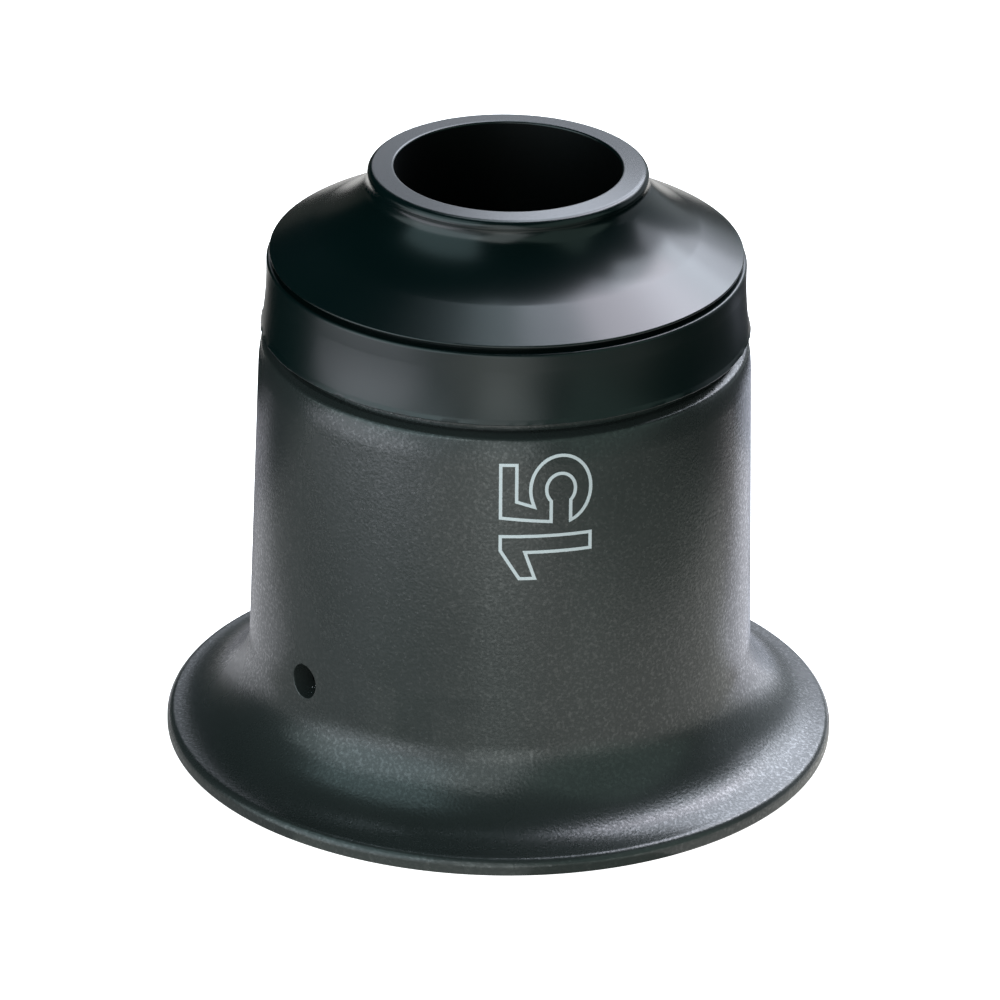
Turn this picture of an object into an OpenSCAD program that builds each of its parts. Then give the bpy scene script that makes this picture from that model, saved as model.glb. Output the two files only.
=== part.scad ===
// High-power loupe that the eye socket holds: a flared eyecup, a head that screws into
// it, and two plano-convex lenses set crown to crown in the head's tube. +Z runs up the
// optical axis, from the rim at z = 0 to the lip that faces the work.

/* [Eyecup] */
// Diameter across the flared rim
rim_d = 35; // [33.5:0.5:37]
// Height of the rim's upright edge
rim_edge_h = 0.6; // [0.5:0.1:1]
// Radius of the rim's rounded upper edge
rim_round = 0.3; // [0.2:0.02:0.4]
// Radius of the rim's lower edges, which touch the skin
skin_round = 0.12; // [0.05:0.01:0.2]
// Height of the eyecup, from the rim to its top face
eyecup_h = 22.85; // [21:0.05:26]
// Thickness of the eyecup's wall round the screw
screw_wall = 1.35; // [1.1:0.05:1.8]
// How much the barrel widens from its top to the flare, on each side
barrel_taper = 0.47; // [0.1:0.01:0.7]
// Radius of the hollow curve between the barrel and the rim
flare_r = 4.5; // [4.1:0.1:5.2]
// Thickness of the eyecup's wall below the screw
wall = 1.2; // [0.9:0.1:1.4]
// Radius of the barrel's rounded top edge
barrel_round = 0.8; // [0.4:0.1:0.9]
// Diameter of a vent hole
vent_d = 1.8; // [1.2:0.1:2.4]
// Height of the vent holes above the rim's face
vent_z = 6.35; // [6.2:0.05:10]
// Direction of the first vent hole, round the axis from +X
vent_angle = 220; // [0:1:359]
// Number of vent holes, evenly spaced
vent_count = 2; // [1:1:4]

/* [Collar] */
// Height of the smooth band
band_h = 3.78; // [3:0.01:5]
// How far the band's foot stands back from the barrel's top
band_inset = 0.12; // [0.05:0.01:0.2]
// How far the band flares out from its top to its foot, on each side
band_flare = 0.21; // [0.1:0.01:0.4]
// Height over which the band flares out
band_flare_h = 2.8; // [2:0.1:2.9]
// How much of the flare lies above its bend, on each side
band_taper = 0.03; // [0:0.01:0.08]
// How far above the band's foot the flare bends
band_bend_h = 1.3; // [0.8:0.1:1.6]
// Width of the bevels along the band's edges
band_bevel = 0.05; // [0.03:0.01:0.1]
// Height of the open joint between the band and the eyecup
seam_gap = 0.17; // [0.1:0.01:0.4]
// Width of the ring under the band that seats on the eyecup
seat_w = 0.5; // [0.4:0.05:0.6]
// Length of the screw spigot below the seat
spigot_h = 5.3; // [4.5:0.1:6]
// Diameter of the screw spigot
spigot_d = 22.6; // [22:0.1:22.7]
// Play between the spigot and the eyecup, on each side
screw_play = 0.05; // [0.03:0.01:0.08]

/* [Nose] */
// Height of the nose above the collar
nose_h = 5.04; // [4.6:0.02:6]
// How far the nose's lower edge lies inside the band's top edge
nose_inset = 0.15; // [0.05:0.01:0.3]
// Height of the nose's upright lower edge
nose_edge_h = 0.04; // [0.02:0.02:0.3]
// Radius of the nose's rounded lower edge
nose_round = 0.1; // [0.05:0.01:0.15]
// Height of the open joint between the nose and the band
nose_gap = 0.24; // [0.15:0.01:0.4]
// How far the open joint goes in under the nose
nose_gap_depth = 0.5; // [0.3:0.05:0.8]
// How far in from the nose's lower edge its hollow curve bends
nose_hollow_w = 2.4; // [1.6:0.05:3]
// How far above the nose's lower edge its hollow curve bends
nose_hollow_h = 0.95; // [0.6:0.05:1.6]
// Diameter across the lip's flat face
lip_d = 14; // [13.6:0.1:14.8]
// Radius of the lip's rounded edge
lip_round = 0.23; // [0.1:0.01:0.35]
// Height of the lip's side
lip_h = 1; // [0.6:0.05:1.4]
// How far the lip's side draws in below its edge
lip_taper = 0.12; // [0.05:0.01:0.2]
// Diameter of the hole that faces the work
hole_d = 11.7; // [11:0.1:12]
// Depth of the hole, from the lip to the front lens
hole_depth = 5.84; // [5:0.02:6.5]
// Thickness of the lens tube's wall at its end
tube_wall = 1.03; // [0.8:0.01:1.2]
// Play between the lens tube and the collar, on each side
tube_play = 0.02; // [0.01:0.01:0.04]

/* [Lenses] */
// Magnifying power of the lens pair
power = 15; // [13:1:17]
// Diameter of each lens
lens_d = 14; // [13.4:0.1:14.2]
// Thickness of each lens at its edge
lens_edge = 1.1; // [0.9:0.05:1.3]
// Refractive index of the glass
glass_index = 1.517; // [1.49:0.001:1.6]
// Distance between the lenses' crowns
crown_gap = 2; // [1.6:0.1:2.4]
// Play round the lenses and the rings between them, on each side
lens_play = 0.05; // [0.03:0.01:0.08]
// Play along the axis between the lenses and the parts that hold them
seat_play = 0.02; // [0.01:0.01:0.04]
// Width of the spacer rings, whose inner edges bear on the crowns
spacer_w = 0.7; // [0.5:0.05:0.9]
// Diameter of the hole in the field stop
stop_hole_d = 9.6; // [8:0.1:10.5]
// Thickness of the field stop
stop_t = 0.2; // [0.1:0.05:0.3]

/* [Retaining ring] */
// Thickness of the retaining ring
ring_t = 1.3; // [1.1:0.1:1.6]
// How much wider the ring is than the lenses' seat, on each side
ring_ledge = 0.5; // [0.3:0.05:0.7]
// How far the ring reaches in under the lens
ring_reach = 0.8; // [0.5:0.05:1.2]
// How far the ring lies inside the end of the lens tube
ring_depth = 0.1; // [0:0.05:0.3]
// Width of the ring's two spanner slots
slot_w = 1; // [0.8:0.1:1.2]
// Depth of the ring's two spanner slots
slot_depth = 0.6; // [0.4:0.05:0.8]

/* [Hidden] */
$fn = 128;
over = 1;

// Heights of the faces that meet
band_z = eyecup_h + seam_gap;
collar_top = band_z + band_h;
nose_z = collar_top + nose_gap;
nose_top = collar_top + nose_h;
hole_z = nose_top - hole_depth;
spigot_end = eyecup_h - spigot_h;

// Eyecup: the flare's hollow curve touches the rounded edge of the rim
rim_r = rim_d / 2;
screw_r = spigot_d / 2 + screw_play;
barrel_top_r = screw_r + screw_wall;
foot_r = barrel_top_r + barrel_taper;
draft = atan((foot_r - barrel_top_r) / (eyecup_h - rim_edge_h - flare_r));
flare_x = foot_r + flare_r * cos(draft);
round_x = rim_r - rim_round;
flare_z = rim_edge_h + sqrt(pow(flare_r + rim_round, 2) - pow(flare_x - round_x, 2));
rim_angle = atan2(flare_z - rim_edge_h, flare_x - round_x);
barrel_foot_z = flare_z - flare_r * sin(draft);
lead_in = 0.4;

// Head: its edges follow the top of the barrel
seat_r = screw_r + seat_w;
band_foot_r = barrel_top_r - band_inset;
band_top_r = band_foot_r - band_flare;
nose_r = band_top_r - nose_inset;

// Lenses: two equal ones, whose focal length gives the pair its power at 250 mm
near_point = 250;
pair_f = near_point / power;
lens_f = pair_f * (1 + sqrt(1 - crown_gap / pair_f));
crown_r = (glass_index - 1) * lens_f;
lens_r = lens_d / 2;
function sag(r) = crown_r - sqrt(pow(crown_r, 2) - pow(r, 2));
lens_t = lens_edge + sag(lens_r);
front_z = hole_z - seat_play - lens_t;
rear_z = front_z - crown_gap;
rear_face = rear_z - lens_t;
stop_z = (front_z + rear_z) / 2;
spacer_bore_r = lens_r - spacer_w;
spacer_h = crown_gap / 2 + sag(spacer_bore_r) - stop_t / 2;

// Lens tube and the ring that closes it
lens_bore_r = lens_r + lens_play;
ring_r = lens_bore_r + ring_ledge;
ring_bore_r = ring_r + tube_play;
tube_r = ring_bore_r + tube_wall;
ring_top = rear_face - seat_play;
ring_z = ring_top - ring_t;
tube_end = ring_z - ring_depth;

// Points along an arc, and along a curve pulled towards a middle point
function arc(x, z, r, from, to, steps = 6) =
    [for (i = [0:steps]) let (a = from + (to - from) * i / steps) [x + r * cos(a), z + r * sin(a)]];
function bow(start, middle, end, steps = 12) =
    [for (i = [0:steps]) let (t = i / steps)
        (1 - t) * (1 - t) * start + 2 * t * (1 - t) * middle + t * t * end];

// Flared shell with a matte grain, moulded in one piece
module eyecup() {
    inner_r = flare_r + wall;
    mouth_angle = 180 + asin((flare_z - skin_round) / (inner_r - skin_round));
    mouth_x = flare_x + (inner_r - skin_round) * cos(mouth_angle);
    cavity_z = spigot_end - lead_in;
    cavity_r = foot_r - (cavity_z - barrel_foot_z) * tan(draft) - wall / cos(draft);
    top_z = eyecup_h - barrel_round;
    top_x = barrel_top_r - barrel_round;
    outline = concat(
        arc(rim_r - skin_round, skin_round, skin_round, -90, 0, 3),
        arc(round_x, rim_edge_h, rim_round, 0, rim_angle, 5),
        arc(flare_x, flare_z, flare_r, 180 + rim_angle, 180 + draft, 20),
        arc(top_x, top_z, barrel_round, draft, 90, 8),
        [[screw_r, eyecup_h], [screw_r, cavity_z], [cavity_r, cavity_z - (cavity_r - screw_r)]],
        arc(flare_x, flare_z, inner_r, 180 + draft, mouth_angle, 14),
        arc(mouth_x, skin_round, skin_round, mouth_angle, 270, 3));
    color("#36393a") difference() {
        rotate_extrude() polygon(outline);
        for (i = [0:vent_count - 1])
            rotate([0, 0, vent_angle + 360 * i / vent_count])
            translate([foot_r / 2, 0, vent_z])
            rotate([0, 90, 0])
            cylinder(d = vent_d, h = foot_r, $fn = 48);
    }
}

// Smooth band with the screw spigot below it, turned in one piece
module collar() {
    tube_bore_r = tube_r + tube_play;
    foot = [band_foot_r, band_z + band_bevel];
    color("#2b2e2f") rotate_extrude() polygon(concat(
        [[tube_bore_r, spigot_end], [spigot_d / 2 - lead_in, spigot_end],
         [spigot_d / 2, spigot_end + lead_in], [spigot_d / 2, eyecup_h],
         [seat_r, eyecup_h], [seat_r, band_z], [foot[0] - band_bevel, band_z]],
        bow(foot, [band_top_r + band_taper, foot[1] + band_bend_h], [band_top_r, band_z + band_flare_h]),
        [[band_top_r, collar_top - band_bevel], [band_top_r - band_bevel, collar_top],
         [tube_bore_r, collar_top]]));
}

// Hollow nose and lens tube, turned in one piece
module nose_cone() {
    hole_r = hole_d / 2;
    lip_r = lip_d / 2 + lip_round;
    edge_z = nose_z + nose_round + nose_edge_h;
    neck = [lip_r - lip_taper, nose_top - lip_h];
    skirt = [nose_r - nose_round, edge_z];
    outline = concat(
        [[tube_r, tube_end], [tube_r, collar_top],
         [nose_r - nose_gap_depth, collar_top], [nose_r - nose_gap_depth, nose_z]],
        arc(nose_r - nose_round, nose_z + nose_round, nose_round, -90, 0, 3),
        [[nose_r, edge_z]],
        bow(skirt, skirt + [-nose_hollow_w, nose_hollow_h], neck),
        arc(lip_d / 2, nose_top - lip_round, lip_round, 0, 90, 4),
        [[hole_r, nose_top], [hole_r, hole_z], [lens_bore_r, hole_z],
         [lens_bore_r, ring_top], [ring_bore_r, ring_top], [ring_bore_r, tube_end]]);
    color("#1f2223") rotate_extrude() polygon(outline);
}

// Plano-convex lens with its crown up, and its flat face at z = 0
module lens() {
    edge = asin(lens_r / crown_r);
    color("#dfe8ea") rotate_extrude() polygon(concat(
        [[0, 0], [lens_r, 0]],
        arc(0, lens_t - crown_r, crown_r, 90 - edge, 90, 16)));
}

module ring(outer_r, inner_r, h)
    difference() {
        cylinder(r = outer_r, h = h);
        translate([0, 0, -over]) cylinder(r = inner_r, h = h + 2 * over);
    }

module front_lens() translate([0, 0, front_z + lens_t]) mirror([0, 0, 1]) lens();
module rear_lens() translate([0, 0, rear_face]) lens();

module front_spacer() color("#18191a")
    translate([0, 0, stop_z + stop_t / 2]) ring(lens_r, spacer_bore_r, spacer_h);
module rear_spacer() color("#18191a")
    translate([0, 0, stop_z - stop_t / 2 - spacer_h]) ring(lens_r, spacer_bore_r, spacer_h);

// Blackened washer that keeps stray light from the eye
module field_stop() color("#101112")
    translate([0, 0, stop_z - stop_t / 2]) ring(lens_r, stop_hole_d / 2, stop_t);

// Screwed ring that holds the lenses in their tube, slotted for a spanner
module retaining_ring() color("#1f2223")
    difference() {
        translate([0, 0, ring_z]) ring(ring_r, lens_r - ring_reach, ring_t);
        translate([-ring_r - over, -slot_w / 2, ring_z - over])
            cube([2 * (ring_r + over), slot_w, slot_depth + over]);
    }

eyecup();
collar();
nose_cone();
front_lens();
front_spacer();
field_stop();
rear_spacer();
rear_lens();
retaining_ring();
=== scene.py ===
"""Eye loupe: the looks of each piece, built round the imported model."""

import math

import bmesh
import bpy
from mathutils import Matrix, Vector, noise


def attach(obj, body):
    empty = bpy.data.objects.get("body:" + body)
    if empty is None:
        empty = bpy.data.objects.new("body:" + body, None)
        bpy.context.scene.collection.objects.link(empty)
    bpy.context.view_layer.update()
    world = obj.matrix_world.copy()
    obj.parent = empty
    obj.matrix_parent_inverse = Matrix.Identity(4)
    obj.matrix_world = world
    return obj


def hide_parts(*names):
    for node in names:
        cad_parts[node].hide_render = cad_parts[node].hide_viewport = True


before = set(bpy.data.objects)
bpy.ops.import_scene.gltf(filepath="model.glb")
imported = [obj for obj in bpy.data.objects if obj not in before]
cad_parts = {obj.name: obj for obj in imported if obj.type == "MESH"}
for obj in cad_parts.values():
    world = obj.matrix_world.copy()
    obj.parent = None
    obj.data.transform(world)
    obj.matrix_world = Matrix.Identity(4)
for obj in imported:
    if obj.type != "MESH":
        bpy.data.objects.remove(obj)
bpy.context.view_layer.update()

MM = 0.001


# Eyecup
# The flared shell that the eye socket holds. It is moulded in black plastic, in a tool
# whose spark-eroded face leaves a fine matte grain on the inside and the outside.
# The head screws into the thread at its top, and two vent holes keep the lens clear.
# Lengths are in mm and angles in degrees, here and wherever nothing else is said. A pair of
# numbers is a radius and a height, or the lower and upper end of a thread or a ring.
RIM_R = 17.5
RIM_EDGE_H = 0.48
RIM_ROUND = 0.45
SKIN_ROUND = 0.12
CUP_H = 22.85
CUP_TOP_R = 12.7
CUP_FOOT_R = 13.17
CUP_WALL = 1.2
BARREL_LEVELS = (12.0, 15.0, 18.0, 20.77)
SHOULDER_FOOT = 20.8
SHOULDER_BEND = 0.55
SHOULDER = (12.62, 22.06)
SHOULDER_DEG = 11
SHOULDER_TOP_DEG = 60
SHOULDER_ROUND = 0.3
SHOULDER_BEVEL = (12.2, 22.42)
SHOULDER_STEP_R = 11.9
FLARE_R = 4.5
CUP_BORE_R = 11.7
CUP_BORE_END = 17.15
CUP_CREST_R = 11.37
CUP_THREAD = (17.5, 22.6)
VENT_D = 1.8
VENT_Z = 6.35
VENT_AZIMUTHS = (220, 40)
VENT_MOUTH_R = 12.6
VENT_CORE_R = 12.5
VENT_CORE_L = 6
VENT_EDGE = 0.07

# Both screw threads: the pitch in mm, half a tooth as a share of it, the tip as a share
# of half a tooth, and how far a tooth's foot is sunk into the wall
THREAD_PITCH = 0.75
THREAD_STEPS = 96
THREAD_HALF = 0.42
THREAD_TIP = 0.15
THREAD_SINK = 0.02


def point(mesh, x, z):
    """Puts the first point of an outline at radius x and height z, in mm."""
    return bmesh.ops.create_vert(mesh, co=(x * MM, 0, z * MM))["vert"][0]


def line(mesh, last, x, z):
    """Draws the outline straight on to radius x and height z."""
    corner = point(mesh, x, z)
    mesh.edges.new((last, corner))
    return corner


def line_through(mesh, last, *corners):
    """Draws the outline straight on through several corners."""
    for x, z in corners:
        last = line(mesh, last, x, z)
    return last


def flat(mesh, last, x, z, hold=0.02):
    """Draws straight on, with a corner near each end, so that smooth shading keeps it flat."""
    start, end = last.co.copy(), Vector((x * MM, 0, z * MM))
    near = (end - start).normalized() * hold * MM
    for corner in (start + near, end - near, end):
        last = line(mesh, last, corner.x / MM, corner.z / MM)
    return last


def arc(mesh, last, x, z, degrees, steps=6):
    """Sweeps the outline round a centre, anticlockwise where degrees is above zero."""
    swept = bmesh.ops.spin(
        mesh, geom=[last], cent=(x * MM, 0, z * MM), axis=(0, -1, 0),
        angle=math.radians(degrees), steps=steps)
    return [v for v in swept["geom_last"] if isinstance(v, bmesh.types.BMVert)][0]


def bow(mesh, last, middle, end, steps=24):
    """Draws the outline on to its end in a curve that is pulled towards a middle point."""
    start = (last.co.x / MM, last.co.z / MM)
    for i in range(1, steps + 1):
        t = i / steps
        x, z = ((1 - t) ** 2 * a + 2 * t * (1 - t) * m + t * t * b
                for a, m, b in zip(start, middle, end))
        last = line(mesh, last, x, z)
    return last


def turn(mesh, first, last, steps=256):
    """Closes the outline and turns it round the optical axis into a solid ring."""
    mesh.edges.new((last, first))
    outline = list(mesh.verts) + list(mesh.edges)
    bmesh.ops.spin(
        mesh, geom=outline, cent=(0, 0, 0), axis=(0, 0, 1),
        angle=math.tau, steps=steps, use_merge=True)
    bmesh.ops.remove_doubles(mesh, verts=mesh.verts, dist=MM * 1e-4)
    bmesh.ops.recalc_face_normals(mesh, faces=mesh.faces)


def thread_ridge(mesh, root_r, crest_r, low_z, high_z):
    """Winds one V-shaped ridge round the axis, from root_r to crest_r, and closes its ends."""
    half = THREAD_HALF * THREAD_PITCH
    tooth = bmesh.new()
    corners = [point(tooth, x, low_z + part * half) for x, part in (
        (root_r, 0), (crest_r, 1 - THREAD_TIP), (crest_r, 1 + THREAD_TIP), (root_r, 2))]
    face = tooth.faces.new(corners)
    turns = (high_z - low_z - 2 * half) / THREAD_PITCH
    steps = round(turns * THREAD_STEPS)
    bmesh.ops.spin(
        tooth, geom=[face] + list(face.verts) + list(face.edges),
        cent=(0, 0, 0), axis=(0, 0, 1), dvec=(0, 0, THREAD_PITCH / THREAD_STEPS * MM),
        angle=math.tau * steps / THREAD_STEPS, steps=steps)
    bmesh.ops.recalc_face_normals(tooth, faces=tooth.faces)
    wound = bpy.data.meshes.new("thread")
    tooth.to_mesh(wound)
    tooth.free()
    mesh.from_mesh(wound)
    bpy.data.meshes.remove(wound)


def piece(name, mesh, body, sharp=35):
    """Makes the finished mesh an object with smooth faces, and gives it its body."""
    data = bpy.data.meshes.new(name)
    mesh.to_mesh(data)
    mesh.free()
    data.shade_smooth()
    data.set_sharp_from_angle(angle=math.radians(sharp))
    made = bpy.data.objects.new(name, data)
    bpy.context.scene.collection.objects.link(made)
    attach(made, body)
    return made


def add(tree, kind, inputs=None, **settings):
    """Adds a shader node, with its settings, and its inputs as values or as other sockets."""
    node = tree.nodes.new(kind)
    for key, value in settings.items():
        setattr(node, key, value)
    for key, value in (inputs or {}).items():
        if isinstance(value, bpy.types.NodeSocket):
            tree.links.new(value, node.inputs[key])
        else:
            node.inputs[key].default_value = value
    return node


def effect(name, inputs, outputs):
    """Opens a node group with named inputs and outputs, for an effect that pieces share."""
    group = bpy.data.node_groups.new(name, "ShaderNodeTree")
    for label, kind, value in inputs:
        socket = group.interface.new_socket(name=label, in_out="INPUT", socket_type=kind)
        if value is not None:
            socket.default_value = value
    for label in outputs:
        group.interface.new_socket(name=label, in_out="OUTPUT", socket_type="NodeSocketFloat")
    return group, group.nodes.new("NodeGroupInput"), group.nodes.new("NodeGroupOutput")


def finish_of(name, **plain):
    """Opens a material and sets the shader sockets that are the same all over the piece."""
    material = bpy.data.materials.new(name)
    material.use_nodes = True
    tree = material.node_tree
    shader = tree.nodes["Principled BSDF"]
    for label, value in plain.items():
        shader.inputs[label.replace("_", " ")].default_value = value
    place = add(tree, "ShaderNodeTexCoord").outputs["Object"]
    return material, tree, shader, place


def use(tree, group, **inputs):
    """Places a shared effect in a material with that material's own values."""
    node = tree.nodes.new("ShaderNodeGroup")
    node.node_tree = group
    for label, value in inputs.items():
        socket = node.inputs[label.replace("_", " ")]
        if isinstance(value, bpy.types.NodeSocket):
            tree.links.new(value, socket)
        else:
            socket.default_value = value
    return node.outputs


def blend_colours(tree, mask, first, second):
    """Mixes two colours by a mask that varies over the surface."""
    mix = add(tree, "ShaderNodeMix", data_type="RGBA")
    tree.links.new(mask, mix.inputs[0])
    for socket, value in ((mix.inputs[6], first), (mix.inputs[7], second)):
        if isinstance(value, bpy.types.NodeSocket):
            tree.links.new(value, socket)
        else:
            socket.default_value = value
    return mix.outputs[2]


def spread(tree, mask, low, high):
    """Turns a mask from 0 to 1 into a number from low to high."""
    return add(tree, "ShaderNodeMapRange", {
        "Value": mask, "To Min": low, "To Max": high}).outputs["Result"]


def mottled(tree, patch, low, high, dark, pale):
    """Gives a tone that drifts from dark to pale. A span beyond 0 to 1 makes it patchier."""
    return blend_colours(tree, spread(tree, patch, low, high), (*dark, 1), (*pale, 1))


def dress(tree, shader, tone, over, rough, height=None, strength=1.0, depth=0.0):
    """Links the tone, a roughness that varies over a mask, and a bump of a depth in mm."""
    tree.links.new(tone, shader.inputs["Base Color"])
    tree.links.new(spread(tree, over, *rough), shader.inputs["Roughness"])
    if height is not None:
        bump = add(tree, "ShaderNodeBump", {
            "Strength": strength, "Distance": depth * MM, "Height": height})
        tree.links.new(bump.outputs[0], shader.inputs["Normal"])


# Grain: cells of a given size in mm, slow patches some 40 times as large, and flecks that gleam
grain, grain_in, grain_out = effect(
    "Moulded grain",
    [("Place", "NodeSocketVector", None), ("Cell", "NodeSocketFloat", 0.12)],
    ["Height", "Patch", "Gleam"])
per_metre = add(grain, "ShaderNodeMath", {
    0: 1 / MM, 1: grain_in.outputs["Cell"]}, operation="DIVIDE")
cells = add(grain, "ShaderNodeVectorMath", {
    0: grain_in.outputs["Place"], "Scale": per_metre.outputs[0]}, operation="SCALE")
pits = add(grain, "ShaderNodeTexNoise", {
    "Vector": cells.outputs[0], "Scale": 0.9, "Detail": 1.0, "Roughness": 0.35})
crumbs = add(grain, "ShaderNodeTexVoronoi", {
    "Vector": cells.outputs[0], "Scale": 0.65, "Randomness": 1.0})
height = add(grain, "ShaderNodeMath", {
    0: crumbs.outputs["Distance"], 1: 0.35, 2: pits.outputs[0]}, operation="MULTIPLY_ADD")
patches = add(grain, "ShaderNodeTexNoise", {
    "Vector": cells.outputs[0], "Scale": 0.025, "Detail": 2.0, "Roughness": 0.5})
flecks = add(grain, "ShaderNodeTexNoise", {
    "Vector": cells.outputs[0], "Scale": 0.8, "Detail": 1.0, "Roughness": 0.5})
gleam = add(grain, "ShaderNodeMapRange", {
    "Value": flecks.outputs[0], "From Min": 0.48, "From Max": 0.75, "To Max": 0.8})
grain.links.new(gleam.outputs[0], grain_out.inputs["Gleam"])
grain.links.new(height.outputs[0], grain_out.inputs["Height"])
grain.links.new(patches.outputs[0], grain_out.inputs["Patch"])

# Dust: a few bright specks, with their size and the share of cells that hold one
DUST_CELL = 1.1
dust, dust_in, dust_out = effect(
    "Dust",
    [("Place", "NodeSocketVector", None), ("Size", "NodeSocketFloat", 0.12),
     ("Share", "NodeSocketFloat", 0.03)],
    ["Speck"])
dust_cells = add(dust, "ShaderNodeVectorMath", {
    0: dust_in.outputs["Place"], "Scale": 1 / (DUST_CELL * MM)}, operation="SCALE")
specks = add(dust, "ShaderNodeTexVoronoi", {
    "Vector": dust_cells.outputs[0], "Scale": 1.0, "Randomness": 1.0})
near = add(dust, "ShaderNodeMath", {
    0: specks.outputs["Distance"], 1: dust_in.outputs["Size"]}, operation="LESS_THAN")
chance = add(dust, "ShaderNodeSeparateColor", {0: specks.outputs["Color"]})
picked = add(dust, "ShaderNodeMath", {
    0: chance.outputs[0], 1: dust_in.outputs["Share"]}, operation="LESS_THAN")
speck = add(dust, "ShaderNodeMath", {0: near.outputs[0], 1: picked.outputs[0]}, operation="MULTIPLY")
dust.links.new(speck.outputs[0], dust_out.inputs["Speck"])

# Lathe marks: fine rings round the axis, that a turned or polished piece keeps
lathe, lathe_in, lathe_out = effect(
    "Lathe marks",
    [("Place", "NodeSocketVector", None), ("Width", "NodeSocketFloat", 0.1)],
    ["Height"])
split = add(lathe, "ShaderNodeSeparateXYZ", {0: lathe_in.outputs["Place"]})
reach = add(lathe, "ShaderNodeVectorMath", {
    0: lathe_in.outputs["Place"], 1: (1, 1, 0)}, operation="MULTIPLY")
radius = add(lathe, "ShaderNodeVectorMath", {0: reach.outputs[0]}, operation="LENGTH")
across = add(lathe, "ShaderNodeMath", {
    0: split.outputs["Z"], 1: radius.outputs["Value"]}, operation="ADD")
rings_per_metre = add(lathe, "ShaderNodeMath", {
    0: 1 / MM, 1: lathe_in.outputs["Width"]}, operation="DIVIDE")
rings = add(lathe, "ShaderNodeMath", {
    0: across.outputs[0], 1: rings_per_metre.outputs[0]}, operation="MULTIPLY")
marks = add(lathe, "ShaderNodeTexNoise", {
    "W": rings.outputs[0], "Scale": 1.0, "Detail": 2.0}, noise_dimensions="1D")
lathe.links.new(marks.outputs[0], lathe_out.inputs["Height"])

# The barrel's draft, the middles of the rim's round and of the flare, and where both walls begin
draft = math.atan((CUP_FOOT_R - CUP_TOP_R) / (CUP_H - RIM_EDGE_H - FLARE_R))
draft_deg = math.degrees(draft)
flare_x = CUP_FOOT_R + FLARE_R * math.cos(draft)
round_x = RIM_R - RIM_ROUND
flare_z = RIM_EDGE_H + math.sqrt((FLARE_R + RIM_ROUND) ** 2 - (flare_x - round_x) ** 2)
rim_deg = math.degrees(math.atan2(flare_z - RIM_EDGE_H, flare_x - round_x))
inner_r = FLARE_R + CUP_WALL
mouth_deg = math.degrees(math.asin((flare_z - SKIN_ROUND) / (inner_r - SKIN_ROUND)))
barrel_low_z = flare_z - FLARE_R * math.sin(draft)
inside_x = flare_x - inner_r * math.cos(draft)
inside_z = flare_z - inner_r * math.sin(draft)


def up_wall(mesh, last, foot, levels):
    """Draws along a drafted wall, with a corner at each of some heights."""
    return line_through(mesh, last, *((foot[0] - (z - foot[1]) * math.tan(draft), z) for z in levels))


# The outline runs up the outside, over the top, down the bore and down the inside. Its
# corners are closer together near the vent holes.
cup = bmesh.new()
first = point(cup, RIM_R - SKIN_ROUND, 0)
edge = arc(cup, first, RIM_R - SKIN_ROUND, SKIN_ROUND, 90, 4)
edge = flat(cup, edge, RIM_R, RIM_EDGE_H)
edge = arc(cup, edge, round_x, RIM_EDGE_H, rim_deg, 12)
edge = arc(cup, edge, flare_x, flare_z, draft_deg - rim_deg, 40)
barrel_foot = (CUP_FOOT_R, barrel_low_z)
edge = up_wall(cup, edge, barrel_foot, [barrel_low_z + 0.5 * i for i in range(1, 10)])
edge = up_wall(cup, edge, barrel_foot, [*BARREL_LEVELS, SHOULDER_FOOT])
lean = math.radians(SHOULDER_DEG)
bend = (SHOULDER[0] + SHOULDER_BEND * math.tan(lean), SHOULDER[1] - SHOULDER_BEND)
edge = bow(cup, edge, bend, SHOULDER, 10)
round_at = [at - SHOULDER_ROUND * part for at, part in zip(SHOULDER, (math.cos(lean), math.sin(lean)))]
edge = arc(cup, edge, *round_at, SHOULDER_TOP_DEG - SHOULDER_DEG, 10)
edge = flat(cup, edge, *SHOULDER_BEVEL)
edge = line_through(
    cup, edge, (SHOULDER_STEP_R, SHOULDER_BEVEL[1]), (SHOULDER_STEP_R, CUP_H),
    (CUP_BORE_R, CUP_H), (CUP_BORE_R, CUP_BORE_END))
edge = up_wall(cup, edge, (inside_x, inside_z), [CUP_BORE_END - i for i in range(1, 8)])
edge = up_wall(cup, edge, (inside_x, inside_z), [9.5 - 0.5 * i for i in range(8)])
edge = line(cup, edge, inside_x, inside_z)
edge = arc(cup, edge, flare_x, flare_z, mouth_deg - draft_deg, 28)
edge = arc(cup, edge, flare_x - (inner_r - SKIN_ROUND) * math.cos(math.radians(mouth_deg)),
           SKIN_ROUND, 90 - mouth_deg, 3)
turn(cup, first, edge)

# The side cores of the tool leave two straight holes through the wall
cores = bmesh.new()
for azimuth in VENT_AZIMUTHS:
    bmesh.ops.create_cone(
        cores, segments=48, radius1=VENT_D / 2 * MM, radius2=VENT_D / 2 * MM,
        depth=VENT_CORE_L * MM, cap_ends=True,
        matrix=Matrix.Rotation(math.radians(azimuth), 4, "Z")
        @ Matrix.Translation((VENT_CORE_R * MM, 0, VENT_Z * MM)) @ Matrix.Rotation(math.pi / 2, 4, "Y"))


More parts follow.
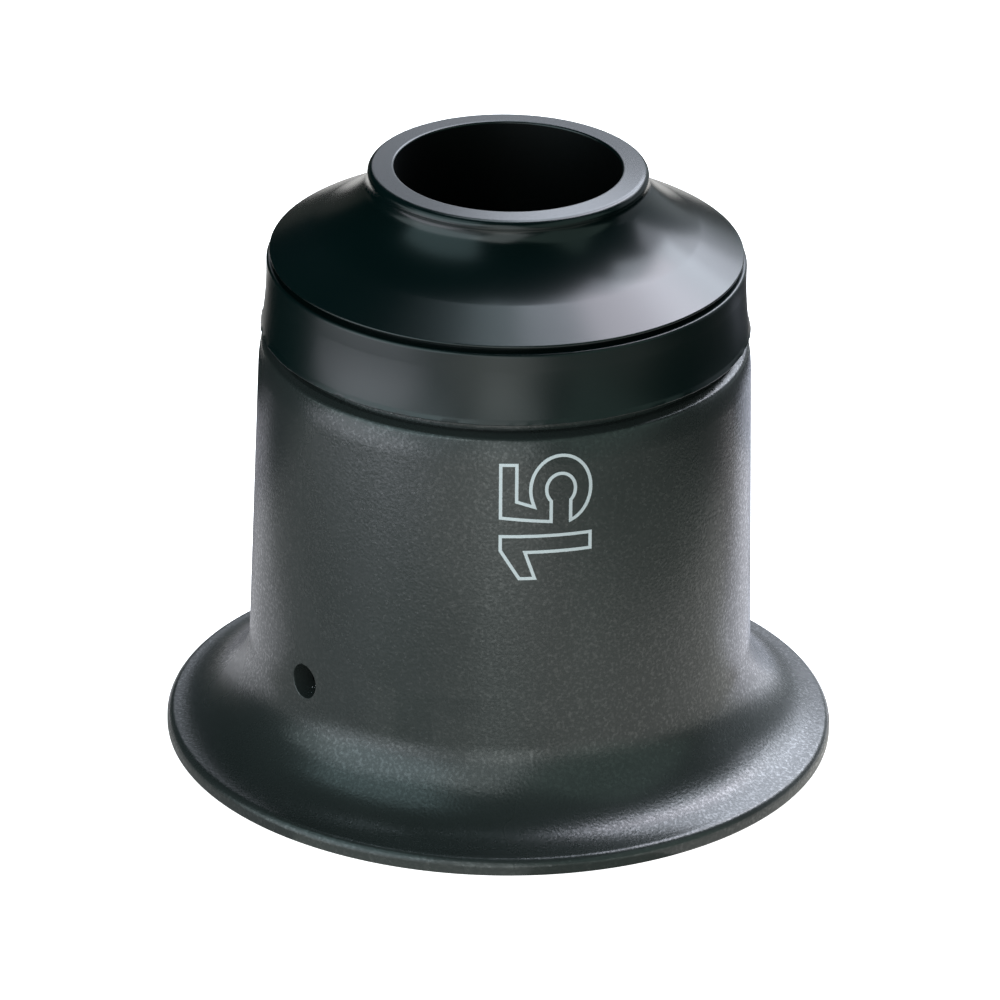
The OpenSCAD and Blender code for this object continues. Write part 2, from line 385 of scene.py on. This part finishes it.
def cut(mesh, cutter):
    """Cuts one bmesh out of another, and gives back the cut one."""
    blank, tool = bpy.data.meshes.new("blank"), bpy.data.meshes.new("tool")
    mesh.to_mesh(blank)
    cutter.to_mesh(tool)
    mesh.free()
    cutter.free()
    blank_object = bpy.data.objects.new("blank", blank)
    tool_object = bpy.data.objects.new("tool", tool)
    for made in (blank_object, tool_object):
        bpy.context.scene.collection.objects.link(made)
    boolean = blank_object.modifiers.new("cut", "BOOLEAN")
    boolean.object = tool_object
    boolean.solver = "EXACT"
    bpy.context.view_layer.update()
    result = bmesh.new()
    result.from_object(blank_object, bpy.context.evaluated_depsgraph_get())
    for made in (blank_object, tool_object):
        bpy.data.objects.remove(made)
    for data in (blank, tool):
        bpy.data.meshes.remove(data)
    return result


cup = cut(cup, cores)
vents = [Vector((math.cos(math.radians(a)), math.sin(math.radians(a)), 0)) for a in VENT_AZIMUTHS]


def on_vent_edge(edge):
    """Says whether a sharp edge lies on the outer mouth of a vent hole, close round its axis."""
    middle = (edge.verts[0].co + edge.verts[1].co) / 2
    if edge.calc_face_angle(0) < math.radians(50) or middle.xy.length < VENT_MOUTH_R * MM:
        return False
    return any((middle - Vector((0, 0, VENT_Z * MM))).cross(way).length < 0.53 * VENT_D * MM
               and middle.dot(way) > 0 for way in vents)


bmesh.ops.bevel(
    cup, geom=[e for e in cup.edges if on_vent_edge(e)], offset=VENT_EDGE * MM,
    offset_type="OFFSET", segments=2, profile=0.5, affect="EDGES", material=-1)
thread_ridge(cup, CUP_BORE_R + THREAD_SINK, CUP_CREST_R, *CUP_THREAD)
eyecup = piece("eyecup_shell", cup, "eyecup")
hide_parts("eyecup")

plastic, tree, shader, place = finish_of("grained black plastic", IOR=1.5, Coat_Roughness=0.22)
spots = use(tree, grain, Place=place, Cell=0.13)
mist = use(tree, dust, Place=place, Size=0.04, Share=0.03)
tone = mottled(tree, spots["Patch"], -0.6, 1.6, (0.0215, 0.0255, 0.0243), (0.0255, 0.0295, 0.0282))
tone = blend_colours(tree, mist["Speck"], tone, (0.16, 0.16, 0.16, 1))
dress(tree, shader, tone, spots["Patch"], (0.25, 0.29), spots["Height"], depth=0.009)
tree.links.new(spots["Gleam"], shader.inputs["Coat Weight"])
eyecup.data.materials.append(plastic)


# Printed number
# The power, 15 times, in plain outlined numerals that read up the barrel. They are pad
# printed in white on the grain, so they are a film a few hundredths of a mm thick.
INK_LINE = 0.17
INK_FILM = 0.02
INK_STEP = 0.3
INK_FOOT_AZIMUTH = -69.3
ONE_Z = 14.56
FIVE_Z = 17.51
NUMERAL_H = 4.8
ONE_W = 2.5
ONE_STEM = 1.05
ONE_CAP = 0.85
ONE_FLAG = (1.0, 1.95, 1.45)
FIVE_BAR = (0.35, 2.95)
FIVE_BAR_H = 0.98
FIVE_WAIST = 1.22
FIVE_BOWL_R = 1.64
FIVE_BOWL_X = 1.69
FIVE_BOWL_DEG = 114
FIVE_HOLE_R = 0.66
FIVE_TAIL = (0.12, 0.42)
FIVE_STRETCH = 1.18


def numeral(first, last, mesh, stretch, z):
    """Fills a numeral's outline, keeps its contour line and wraps that round the barrel."""
    mesh.edges.new((last, first))
    bmesh.ops.remove_doubles(mesh, verts=mesh.verts, dist=MM * 1e-3)
    bmesh.ops.scale(mesh, vec=(stretch, 1, 1), verts=mesh.verts)
    filled = bmesh.ops.contextual_create(mesh, geom=mesh.edges[:])["faces"]
    bmesh.ops.inset_region(
        mesh, faces=filled, thickness=INK_LINE * MM, use_even_offset=True, use_boundary=True)
    bmesh.ops.delete(mesh, geom=filled, context="FACES_ONLY")
    bmesh.ops.triangulate(mesh, faces=mesh.faces[:])
    bmesh.ops.subdivide_edges(
        mesh, edges=[e for e in mesh.edges if e.calc_length() > INK_STEP * MM], cuts=4, use_grid_fill=True)
    for corner in mesh.verts:
        height = z * MM + corner.co.x
        r = (CUP_FOOT_R - (height / MM - barrel_low_z) * math.tan(draft)) * MM
        azimuth = math.radians(INK_FOOT_AZIMUTH) - corner.co.z / r
        sunk_r = r - INK_FILM * MM
        corner.co = (sunk_r * math.cos(azimuth), sunk_r * math.sin(azimuth), height)
    raised = bmesh.ops.extrude_face_region(mesh, geom=mesh.faces[:])["geom"]
    for corner in (found for found in raised if isinstance(found, bmesh.types.BMVert)):
        corner.co.xy *= 1 + 2 * INK_FILM * MM / corner.co.xy.length
    bmesh.ops.recalc_face_normals(mesh, faces=mesh.faces)


# The one is a stem with a flag on its left, whose three heights are measured from the top
one = bmesh.new()
first = point(one, ONE_W, 0)
flag = [NUMERAL_H - fall for fall in ONE_FLAG]
edge = line_through(
    one, first, (ONE_W, NUMERAL_H), (ONE_W - ONE_CAP * ONE_STEM, NUMERAL_H), (0, flag[0]),
    (0, flag[1]), (ONE_W - ONE_STEM, flag[2]), (ONE_W - ONE_STEM, 0))
numeral(first, edge, one, 1, ONE_Z)

# The five's bowl is a ring with a bar at its top. It is open on the left, from FIVE_TAIL's
# height below its middle to the same height above it.
five = bmesh.new()
bowl = (FIVE_BOWL_X, FIVE_BOWL_R)
tail_x, tail_h = FIVE_TAIL
bar_z = NUMERAL_H - FIVE_BAR_H
first = point(five, FIVE_BAR[0], NUMERAL_H)
edge = line_through(five, first, (FIVE_BAR[1], NUMERAL_H), (FIVE_BAR[1], bar_z), (FIVE_WAIST, bar_z))
start = math.radians(FIVE_BOWL_DEG)
edge = line(five, edge, bowl[0] + FIVE_BOWL_R * math.cos(start), bowl[1] + FIVE_BOWL_R * math.sin(start))
outer_deg, inner_deg = (math.degrees(math.asin(tail_h / r)) for r in (FIVE_BOWL_R, FIVE_HOLE_R))
edge = arc(five, edge, *bowl, outer_deg - 180 - FIVE_BOWL_DEG, 48)
edge = line(five, edge, bowl[0] - FIVE_HOLE_R * math.cos(math.radians(inner_deg)), bowl[1] - tail_h)
edge = arc(five, edge, *bowl, 360 - 2 * inner_deg, 32)
edge = line(five, edge, tail_x, bowl[1] + tail_h)
numeral(first, edge, five, FIVE_STRETCH, FIVE_Z)

number = bmesh.new()
for glyph in (one, five):
    drawn = bpy.data.meshes.new("numeral")
    glyph.to_mesh(drawn)
    glyph.free()
    number.from_mesh(drawn)
    bpy.data.meshes.remove(drawn)
number = piece("printed_number", number, "eyecup")

ink, tree, shader, place = finish_of("white printing ink", IOR=1.5)
spots = use(tree, grain, Place=place, Cell=0.16)
worn = mottled(tree, spots["Patch"], -0.3, 1.3, (0.58, 0.60, 0.62), (0.72, 0.74, 0.76))
dress(tree, shader, worn, spots["Patch"], (0.45, 0.6), spots["Height"], strength=0.6, depth=0.02)
number.data.materials.append(ink)


# Collar
# The smooth band between the eyecup and the nose, turned with the screw spigot that
# goes down into the eyecup. Its edges are broken with a small bevel.
SPIGOT_END = 17.55
SPIGOT_LEAD = 0.3
SPIGOT_ROOT_R = 10.9
SPIGOT_CREST_R = 11.29
SPIGOT_THREAD = (17.9, 22.4)
SPIGOT_BREAK = 0.1
TUBE_BORE_R = 8.62
SEAT_R = 11.85
BAND_Z = 23.02
BAND_FOOT_R = 12.58
BAND_BEND = (12.4, 24.37)
BAND_TOP_R = 12.37
BAND_FLARE_H = 2.8
COLLAR_TOP = 26.8
BAND_BEVEL = 0.05
BAND_TOP_ROUND = 0.16
FLASH = 0.08
FLASH_H = 0.17
RAGGED = 0.6
RAG_FINE = 0.35
RAG_COARSE = 0.9

ring = bmesh.new()
first = point(ring, TUBE_BORE_R + SPIGOT_BREAK, SPIGOT_END)
edge = line_through(
    ring, first, (SPIGOT_ROOT_R - SPIGOT_LEAD, SPIGOT_END), (SPIGOT_ROOT_R, SPIGOT_END + SPIGOT_LEAD),
    (SPIGOT_ROOT_R, CUP_H), (SEAT_R, CUP_H), (SEAT_R, BAND_Z), (BAND_FOOT_R + FLASH - BAND_BEVEL, BAND_Z))
edge = arc(ring, edge, BAND_FOOT_R + FLASH - BAND_BEVEL, BAND_Z + BAND_BEVEL, 90, 4)
edge = line(ring, edge, BAND_FOOT_R, BAND_Z + BAND_BEVEL + FLASH_H)
edge = bow(ring, edge, BAND_BEND, (BAND_TOP_R, BAND_Z + BAND_FLARE_H))
edge = flat(ring, edge, BAND_TOP_R, COLLAR_TOP - BAND_TOP_ROUND)
edge = arc(ring, edge, BAND_TOP_R - BAND_TOP_ROUND, COLLAR_TOP - BAND_TOP_ROUND, 90, 8)
edge = line_through(ring, edge, (TUBE_BORE_R, COLLAR_TOP), (TUBE_BORE_R, SPIGOT_END + SPIGOT_BREAK))
turn(ring, first, edge)

# The moulding line at the band's foot is ragged beyond a share of its width
for corner in ring.verts:
    if corner.co.xy.length > (BAND_FOOT_R + RAGGED * FLASH) * MM:
        fine, coarse = (noise.noise(corner.co / (size * MM)) for size in (RAG_FINE, RAG_COARSE))
        corner.co.xy *= 1 + RAGGED * FLASH * (fine + RAGGED * coarse) / BAND_FOOT_R
thread_ridge(ring, SPIGOT_ROOT_R - THREAD_SINK, SPIGOT_CREST_R, *SPIGOT_THREAD)
collar = piece("collar_band", ring, "head")
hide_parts("collar")

satin, tree, shader, place = finish_of("satin black collar", IOR=1.5)
spots = use(tree, grain, Place=place, Cell=0.3)
marks = use(tree, lathe, Place=place, Width=0.06)
mist = use(tree, dust, Place=place, Size=0.045, Share=0.04)
tone = mottled(tree, spots["Patch"], -0.5, 1.5, (0.0008, 0.0055, 0.0055), (0.0014, 0.0075, 0.007))
tone = blend_colours(tree, mist["Speck"], tone, (0.2, 0.2, 0.2, 1))
dress(tree, shader, tone, spots["Patch"], (0.25, 0.31), marks["Height"], strength=0.3, depth=0.004)
collar.data.materials.append(satin)


# Nose cone
# The hollow cone with the lip that faces the work, and the tube below it that holds
# the lenses, moulded in one glossier black and polished on the outside.
NOSE_R = 12.22
NOSE_Z = 27.04
NOSE_ROUND = 0.1
BRIM_ROUND = 0.07
BRIM_DEG = 60
BRIM_Z = 27.22
NOSE_TOP = 31.84
LIP_R = 6.87
LIP_ROUND = 0.36
LIP_FALL = 0.05
BRIM_END = (9.95, 28.42)
HOLLOW = (8.41, 29.31)
HOLLOW_END = (7.4, 30.6)
NECK_FOOT = (7.16, 30.91)
NECK = (7.19, 31.3)
HOLE_R = 5.85
HOLE_END = 26.0
HOLE_EDGE = 0.12
LENS_SEAT_R = 7.05
RING_SEAT_R = 7.57
RING_SEAT_Z = 18.68
TUBE_R = 8.6
TUBE_END = 17.28
TUBE_BREAK = 0.1
NOSE_STEP = 0.5

cone = bmesh.new()
first = point(cone, TUBE_R, TUBE_END)
edge = line_through(
    cone, first, (TUBE_R, COLLAR_TOP), (NOSE_R - NOSE_STEP, COLLAR_TOP), (NOSE_R - NOSE_STEP, NOSE_Z),
    (NOSE_R - NOSE_ROUND, NOSE_Z))
edge = arc(cone, edge, NOSE_R - NOSE_ROUND, NOSE_Z + NOSE_ROUND, 90, 4)
edge = line(cone, edge, NOSE_R, BRIM_Z - BRIM_ROUND)
edge = arc(cone, edge, NOSE_R - BRIM_ROUND, BRIM_Z - BRIM_ROUND, BRIM_DEG, 6)
edge = flat(cone, edge, *BRIM_END)
edge = bow(cone, edge, HOLLOW, HOLLOW_END, 40)
edge = bow(cone, edge, NECK_FOOT, NECK, 12)
lip_deg = math.degrees(math.atan(LIP_FALL / (LIP_R - HOLE_R - HOLE_EDGE)))
edge = line(cone, edge, LIP_R + LIP_ROUND, NOSE_TOP - LIP_FALL - LIP_ROUND)
edge = arc(cone, edge, LIP_R, NOSE_TOP - LIP_FALL - LIP_ROUND, 90 - lip_deg, 12)
edge = flat(cone, edge, HOLE_R + HOLE_EDGE, NOSE_TOP)
edge = arc(cone, edge, HOLE_R + HOLE_EDGE, NOSE_TOP - HOLE_EDGE, 90, 8)
edge = line_through(
    cone, edge, (HOLE_R, HOLE_END), (LENS_SEAT_R, HOLE_END), (LENS_SEAT_R, RING_SEAT_Z),
    (RING_SEAT_R, RING_SEAT_Z), (RING_SEAT_R, TUBE_END + TUBE_BREAK), (RING_SEAT_R + TUBE_BREAK, TUBE_END))
turn(cone, first, edge)
nose = piece("nose_shell", cone, "head")
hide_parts("nose_cone")

gloss, tree, shader, place = finish_of("polished black nose", IOR=1.5)
spots = use(tree, grain, Place=place, Cell=0.25)
mist = use(tree, dust, Place=place, Size=0.045, Share=0.04)
tone = mottled(tree, spots["Patch"], -0.5, 1.5, (0.0006, 0.0045, 0.0045), (0.0012, 0.0062, 0.0058))
tone = blend_colours(tree, mist["Speck"], tone, (0.2, 0.2, 0.2, 1))
dress(tree, shader, tone, spots["Patch"], (0.20, 0.24), spots["Height"], strength=0.12, depth=0.004)
nose.data.materials.append(gloss)

# The bore is blackened against stray light
matt, tree, shader, place = finish_of("blackened bore", IOR=1.5, Specular_IOR_Level=0.25)
spots = use(tree, grain, Place=place, Cell=0.2)
marks = use(tree, lathe, Place=place, Width=0.1)
tone = blend_colours(tree, spots["Patch"], (0.0006, 0.001, 0.001, 1), (0.001, 0.0014, 0.0014, 1))
dress(tree, shader, tone, marks["Height"], (0.35, 0.5))
nose.data.materials.append(matt)
for face in nose.data.polygons:
    if face.center.xy.length < (HOLE_R + 0.01) * MM and face.center.z < (NOSE_TOP - HOLE_EDGE) * MM:
        face.material_index = 1


# Lenses
# Two equal plano-convex lenses of crown glass, set crown to crown, ground and polished
# and coated against reflections. The cylindrical edge of each is left ground.
LENS_R = 7.0
CROWN_R = 16.7
LENS_EDGE_H = 1.1
LENS_BREAK = 0.08
GROUND_ROUGHNESS = 0.55
FRONT_FACE_Z = 25.98
REAR_FACE_Z = 18.704

glass, tree, shader, place = finish_of(
    "coated crown glass", IOR=1.517, Metallic=0.0, Transmission_Weight=1.0,
    Thin_Film_Thickness=110.0, Thin_Film_IOR=1.38)
split = add(tree, "ShaderNodeSeparateXYZ", {0: place})
away = add(tree, "ShaderNodeCombineXYZ", {0: split.outputs["X"], 1: split.outputs["Y"]})
from_axis = add(tree, "ShaderNodeVectorMath", {0: away.outputs[0]}, operation="LENGTH")
ground = add(tree, "ShaderNodeMath", {
    0: from_axis.outputs["Value"], 1: (LENS_R - LENS_BREAK) * MM}, operation="GREATER_THAN")
haze = use(tree, grain, Place=place, Cell=0.1)
polish = spread(tree, haze["Patch"], 0.0, 0.03)
rough = add(tree, "ShaderNodeMath", {
    0: ground.outputs[0], 1: GROUND_ROUGHNESS}, operation="MULTIPLY")
both = add(tree, "ShaderNodeMath", {0: polish, 1: rough.outputs[0]}, operation="ADD")
tree.links.new(both.outputs[0], shader.inputs["Roughness"])
tint = blend_colours(tree, ground.outputs[0], (0.97, 0.985, 0.98, 1), (0.75, 0.80, 0.79, 1))
tree.links.new(tint, shader.inputs["Base Color"])

# The flat face is at the outline's foot, and way turns the crown up or down
for name, face_z, way in (("front_lens", FRONT_FACE_Z, -1), ("rear_lens", REAR_FACE_Z, 1)):
    lens = bmesh.new()
    edge_deg = math.degrees(math.asin(LENS_R / CROWN_R))
    first = point(lens, 0, 0)
    edge = line_through(
        lens, first, (LENS_R - LENS_BREAK, 0), (LENS_R, LENS_BREAK), (LENS_R, LENS_EDGE_H))
    crown_z = LENS_EDGE_H - CROWN_R * math.cos(math.radians(edge_deg))
    arc(lens, edge, 0, crown_z, edge_deg, 32)
    bmesh.ops.spin(
        lens, geom=lens.verts[:] + lens.edges[:], cent=(0, 0, 0), axis=(0, 0, 1),
        angle=math.tau, steps=192, use_merge=True)
    bmesh.ops.remove_doubles(lens, verts=lens.verts, dist=MM * 1e-4)
    bmesh.ops.scale(lens, vec=(1, 1, way), verts=lens.verts)
    bmesh.ops.translate(lens, vec=(0, 0, face_z * MM), verts=lens.verts)
    bmesh.ops.recalc_face_normals(lens, faces=lens.faces)
    lens = piece(name + "_glass", lens, "optics")
    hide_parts(name)
    lens.data.materials.append(glass)


# Spacer rings and field stop
# Two rings of black anodised aluminium that part the lenses, turned with fine grooves
# inside against stray light, and between them a thin blackened washer with a sharp hole.
SPACER_BORE_R = 6.3
SPACER_EDGE = 0.08
GROOVE = 0.16
SPACERS = {"front_spacer": (22.442, 24.576), "rear_spacer": (20.108, 22.242)}
STOP_SPAN = (22.242, 22.442)
STOP_HOLE_R = 4.8
STOP_BEVEL = 0.08
STOP_LIP = 0.02
STOP_BREAK = 0.03

anodised, tree, shader, place = finish_of("black anodised ring", IOR=1.6)
spots = use(tree, grain, Place=place, Cell=0.2)
marks = use(tree, lathe, Place=place, Width=0.08)
tone = mottled(tree, spots["Patch"], -0.5, 1.5, (0.010, 0.011, 0.012), (0.018, 0.019, 0.020))
dress(tree, shader, tone, marks["Height"], (0.35, 0.55), marks["Height"], strength=0.4, depth=0.006)

for name, (low, high) in SPACERS.items():
    spacer = bmesh.new()
    first = point(spacer, SPACER_BORE_R + SPACER_EDGE, low)
    edge = line_through(
        spacer, first, (LENS_R - SPACER_EDGE, low), (LENS_R, low + SPACER_EDGE),
        (LENS_R, high - SPACER_EDGE), (LENS_R - SPACER_EDGE, high), (SPACER_BORE_R + SPACER_EDGE, high),
        (SPACER_BORE_R, high - SPACER_EDGE))
    grooves = int((high - low - 4 * SPACER_EDGE) / (2 * GROOVE))
    for i in range(grooves):
        z = high - 2 * SPACER_EDGE - 2 * GROOVE * i
        edge = line_through(
            spacer, edge, (SPACER_BORE_R, z), (SPACER_BORE_R + GROOVE, z - GROOVE / 2),
            (SPACER_BORE_R, z - GROOVE))
    edge = line(spacer, edge, SPACER_BORE_R, low + SPACER_EDGE)
    turn(spacer, first, edge, 192)
    spacer = piece(name + "_ring", spacer, "optics")
    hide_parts(name)
    spacer.data.materials.append(anodised)

washer = bmesh.new()
low, high = STOP_SPAN
middle = (low + high) / 2
first = point(washer, STOP_HOLE_R, middle - STOP_LIP)
edge = line_through(
    washer, first, (STOP_HOLE_R + STOP_BEVEL, low), (LENS_R - STOP_BREAK, low),
    (LENS_R, low + STOP_BREAK), (LENS_R, high - STOP_BREAK), (LENS_R - STOP_BREAK, high),
    (STOP_HOLE_R + STOP_BEVEL, high), (STOP_HOLE_R, middle + STOP_LIP))
turn(washer, first, edge, 192)
washer = piece("field_stop_washer", washer, "optics")
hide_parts("field_stop")

blackened, tree, shader, place = finish_of("blackened washer", IOR=1.5)
spots = use(tree, grain, Place=place, Cell=0.12)
tone = blend_colours(tree, spots["Patch"], (0.006, 0.006, 0.007, 1), (0.013, 0.012, 0.012, 1))
dress(tree, shader, tone, spots["Patch"], (0.6, 0.8), spots["Height"], strength=0.5, depth=0.005)
washer.data.materials.append(blackened)


# Retaining ring
# Closes the lens tube from behind. It is turned from black anodised aluminium, has a fine
# thread on the outside, and two slots across its lower face for a spanner.
KEEPER_R = 7.55
KEEPER_BORE_R = 6.2
KEEPER_SPAN = (17.384, 18.684)
KEEPER_EDGE = 0.1
KEEPER_THREAD = 0.12
SLOT_W = 1.0
SLOT_DEPTH = 0.6
SLOT_BREAK = 0.05

keeper = bmesh.new()
low, high = KEEPER_SPAN
first = point(keeper, KEEPER_BORE_R + 3 * KEEPER_EDGE, low)
edge = line_through(keeper, first, (KEEPER_R - KEEPER_EDGE, low), (KEEPER_R, low + KEEPER_EDGE))
for i in range(int((high - low - 2 * KEEPER_EDGE) / (2 * KEEPER_THREAD))):
    z = low + KEEPER_EDGE + 2 * KEEPER_THREAD * (i + 0.5)
    edge = line_through(
        keeper, edge, (KEEPER_R - 0.7 * KEEPER_THREAD, z), (KEEPER_R, z + KEEPER_THREAD))
edge = line_through(
    keeper, edge, (KEEPER_R, high - KEEPER_EDGE), (KEEPER_R - KEEPER_EDGE, high),
    (KEEPER_BORE_R + KEEPER_EDGE / 2, high), (KEEPER_BORE_R, high - KEEPER_EDGE / 2),
    (KEEPER_BORE_R, low + 3 * KEEPER_EDGE))
turn(keeper, first, edge, 192)

# One bar, 20 mm long and 1 mm taller than the slots are deep, cuts both of them. Their long
# edges on the lower face are broken.
cutter = bmesh.new()
bmesh.ops.create_cube(
    cutter, size=1,
    matrix=Matrix.Translation((0, 0, (low + SLOT_DEPTH / 2 - 0.5) * MM))
    @ Matrix.Diagonal((20 * MM, SLOT_W * MM, (SLOT_DEPTH + 1) * MM, 1)))
keeper = cut(keeper, cutter)


def on_slot_edge(edge):
    """Says whether an edge is a long edge of a slot, on the ring's lower face."""
    return (len(edge.link_faces) == 2 and edge.calc_face_angle(0) > math.radians(60)
            and all(abs(abs(v.co.y) - SLOT_W / 2 * MM) < 1e-6 and abs(v.co.z - low * MM) < 1e-6
                    for v in edge.verts))


bmesh.ops.bevel(
    keeper, geom=[e for e in keeper.edges if on_slot_edge(e)], offset=SLOT_BREAK * MM,
    offset_type="OFFSET", segments=2, profile=0.5, affect="EDGES", material=-1)
keeper = piece("retaining_ring_turned", keeper, "head")
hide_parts("retaining_ring")
keeper.data.materials.append(anodised)


# Floor and studio
# A white table that only the camera sees. What the black pieces mirror is the studio:
# softboxes stand far off round the loupe, and pale cards lie on the table near it. The
# softboxes' distance and the table's size are in metres.
STUDIO_MIDDLE = Vector((0, 0, 15 * MM))
SOFTBOX_FAR = 0.45
TABLE_SIZE = 3.0
TABLE_DROP = 0.02
SHADE_R = 16.6


def laid(name, mesh, material):
    """Lays a flat mesh in the scene, with its material."""
    data = bpy.data.meshes.new(name)
    mesh.to_mesh(data)
    mesh.free()
    made = bpy.data.objects.new(name, data)
    bpy.context.scene.collection.objects.link(made)
    made.data.materials.append(material)
    return made


table = bmesh.new()
bmesh.ops.create_grid(
    table, x_segments=1, y_segments=1, size=TABLE_SIZE, matrix=Matrix.Translation((0, 0, -TABLE_DROP * MM)))
paper, tree, shader, place = finish_of(
    "white paper", Roughness=0.9, Emission_Color=(1, 1, 1, 1), Emission_Strength=1.2)
floor = laid("floor", table, paper)
floor.visible_diffuse = False
floor.visible_glossy = False
floor.visible_transmission = False
floor.visible_shadow = False

# The table glows white, so it shows no shadow, and a dark disc stands for the shade under the cup
dark = bmesh.new()
bmesh.ops.create_circle(dark, cap_ends=True, segments=96, radius=SHADE_R * MM)
dim_paper, tree, shader, place = finish_of(
    "paper in shadow", Roughness=0.9, Base_Color=(0.004, 0.004, 0.004, 1))
laid("shade", dark, dim_paper)

# The camera sees a white world, and nothing is lit by it
world = bpy.data.worlds.new("studio")
bpy.context.scene.world = world
world.use_nodes = True
tree = world.node_tree
seen = add(tree, "ShaderNodeLightPath")
tree.nodes["Background"].inputs["Color"].default_value = (1, 1, 1, 1)
tree.links.new(seen.outputs["Is Camera Ray"], tree.nodes["Background"].inputs["Strength"])


def light(name, place_at, facing, roll, wide, high, radiance, tint):
    """Hangs one flat light, of a size in metres, that the camera doesn't see."""
    data = bpy.data.lights.new(name, "AREA")
    data.shape = "RECTANGLE"
    data.size = wide
    data.size_y = high
    data.energy = radiance * math.pi * wide * high
    data.color = tint
    made = bpy.data.objects.new(name, data)
    bpy.context.scene.collection.objects.link(made)
    made.visible_camera = False
    turned = facing.to_track_quat("-Z", "Y").to_matrix() @ Matrix.Rotation(math.radians(roll), 3, "Z")
    made.matrix_world = Matrix.Translation(place_at) @ turned.to_4x4()


def bearing(azimuth, elevation):
    """Gives the way to something round the loupe. Azimuth 0 is in front and 90 on the right."""
    a, e = math.radians(azimuth), math.radians(elevation)
    return Vector((math.sin(a) * math.cos(e), -math.cos(a) * math.cos(e), math.sin(e)))


def softbox(name, azimuth, elevation, wide, high, roll, radiance, tint):
    """Stands a softbox far off. Its width and height are angles, as the loupe sees them."""
    way = bearing(azimuth, elevation)
    across, upright = (2 * SOFTBOX_FAR * math.tan(math.radians(angle) / 2) for angle in (wide, high))
    light(name, STUDIO_MIDDLE + SOFTBOX_FAR * way, -way, roll, across, upright, radiance, tint)


def card(name, azimuth, far, wide, deep, radiance, tint):
    """Lays a pale card on the table. Its distance, width and depth are in mm."""
    way = bearing(azimuth, 0)
    light(name, way * far * MM, Vector((0, 0, 1)), -azimuth, wide * MM, deep * MM, radiance, tint)


# These 22 rows weren't chosen by hand. A fitting program worked them out from the reflections in
# the photo and wrote them here. Only five strengths and one tint were changed afterwards.
softbox("key", 130.4, 52.7, 8.4, 35.5, 10, 5.04, (0.99, 0.89, 1.00))
softbox("key_low", 129.2, 42.6, 37, 13.5, -49, 5.19, (0.82, 0.90, 1.00))
softbox("overhead", 153.6, 52.1, 29.4, 56.4, 25.6, 5.28, (0.82, 0.88, 1.00))
softbox("back", 167.7, 27.4, 51.4, 36.7, -33.9, 1.19, (0.84, 0.89, 1.00))
softbox("top_left", 307.6, 27.4, 50.1, 59.8, 21.8, 1.12, (0.66, 0.96, 1.00))
softbox("front_left", 310.6, 6.5, 56.5, 45.4, 1.8, 1.30, (0.85, 0.94, 1.00))
softbox("left_low", 277.5, 5.4, 27.4, 20.7, -50.8, 1.29, (0.80, 0.98, 1.00))
softbox("front", 356, 9.3, 29.7, 55.8, 21.3, 1.51, (0.89, 1.00, 1.00))
softbox("front_right", 49.2, 16, 63.5, 59.4, 26.6, 0.45, (0.69, 1.00, 0.90))
softbox("right", 130.6, 4.8, 64.9, 36.8, -3.9, 0.35, (0.82, 0.92, 1.00))
softbox("horizon", 181, 2, 91, 13, -1, 0.07, (0.98, 1.00, 0.88))
softbox("zenith", 183.9, 71.5, 22.5, 24.1, 36, 2.95, (0.76, 0.92, 1.00))
softbox("key_foot", 137.2, 27.1, 33.8, 12.7, -9.9, 2.50, (0.84, 0.89, 1.00))

card("near_front", 27.9, 42.2, 87.7, 69.4, 0.33, (0.92, 1.00, 0.92))
card("near_left", 301, 38.4, 70.1, 61.5, 0.34, (0.98, 1.00, 1.00))
card("near_right", 72.2, 26.1, 78, 25.4, 0.61, (1.00, 0.96, 0.96))
card("near_back_left", 201.9, 27, 50.4, 35.6, 0.50, (0.90, 0.90, 1.00))
card("near_back_right", 155.1, 34.8, 46.5, 45.4, 1.05, (0.80, 0.85, 1.00))
card("far_left", 297.2, 111.3, 85, 90, 2.60, (0.89, 0.91, 1.00))
card("far_front_left", 318.3, 58.1, 24.7, 8.1, 1.65, (0.88, 0.91, 1.00))
card("far_front", 353.6, 88.6, 52.6, 90, 0.94, (0.99, 1.00, 0.99))
card("far_back", 182.8, 101.5, 86.4, 90, 1.05, (1.00, 0.99, 0.97))


# Camera
# It stands in front of the loupe and looks 25 degrees down, with a slight roll. Its height is
# measured from CAMERA_BASE_Z, and its two angles are in radians. A fit to the photo gave its numbers.
CAMERA_FAR = 404.167
CAMERA_BASE_Z = 14
CAMERA_DOWN = 0.44220786
CAMERA_ROLL = 0.01793
CAMERA_LENS = 279.03
CAMERA_AIM = Vector((-0.12, -0.43, 13.09)) * MM

camera_data = bpy.data.cameras.new("camera")
camera_data.lens = CAMERA_LENS
camera_data.sensor_width = 36
camera_data.clip_start = 0.01
camera = bpy.data.objects.new("camera", camera_data)
bpy.context.scene.collection.objects.link(camera)
camera.location = MM * Vector((
    0, -CAMERA_FAR * math.cos(CAMERA_DOWN), CAMERA_BASE_Z + CAMERA_FAR * math.sin(CAMERA_DOWN)))
forward = (CAMERA_AIM - camera.location).normalized()
right = forward.cross(Vector((0, 0, 1))).normalized()
up = right.cross(forward)
across = right * math.cos(CAMERA_ROLL) + up * math.sin(CAMERA_ROLL)
upward = up * math.cos(CAMERA_ROLL) - right * math.sin(CAMERA_ROLL)
camera.rotation_euler = Matrix((across, upward, -forward)).transposed().to_euler()
bpy.context.scene.camera = camera
bpy.context.scene.view_settings.view_transform = "Standard"
